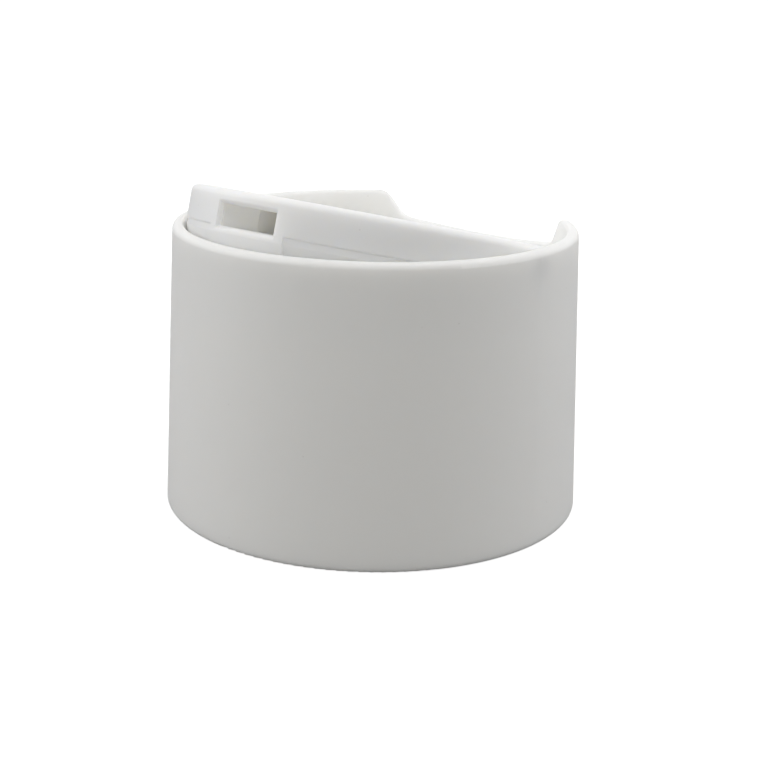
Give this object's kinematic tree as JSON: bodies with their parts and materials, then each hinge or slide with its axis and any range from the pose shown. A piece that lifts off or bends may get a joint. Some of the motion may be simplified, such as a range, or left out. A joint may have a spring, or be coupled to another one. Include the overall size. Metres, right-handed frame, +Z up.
{
  "type": "disc top cap",
  "caption": "Screw-on dispensing cap for a bottle neck: pressing the rear of its round disc tips it and raises a flat nozzle at the front.",
  "frame": {"origin": "centre of the open lower end, on the plane that the cap stands on", "axes": "+Z up along the neck's axis, -Y towards the nozzle's mouth, +Y towards the finger scoop, X along the hinge"},
  "size_m": [0.033, 0.033, 0.0261],
  "materials": {
    "white_body": "satin moulded polypropylene",
    "white_disc": "satin moulded polypropylene"
  },
  "bodies": {
    "closure": {"cap_body": "white_body"},
    "tilting_disc": {"disc": "white_disc"}
  },
  "joints": [
    {"name": "disc_tilt", "type": "hinge", "parent": "closure", "child": "tilting_disc", "pos_m": [0, 0, 0.02098], "axis": [1, 0, 0], "range_deg": [0, 14.2]}
  ]
}
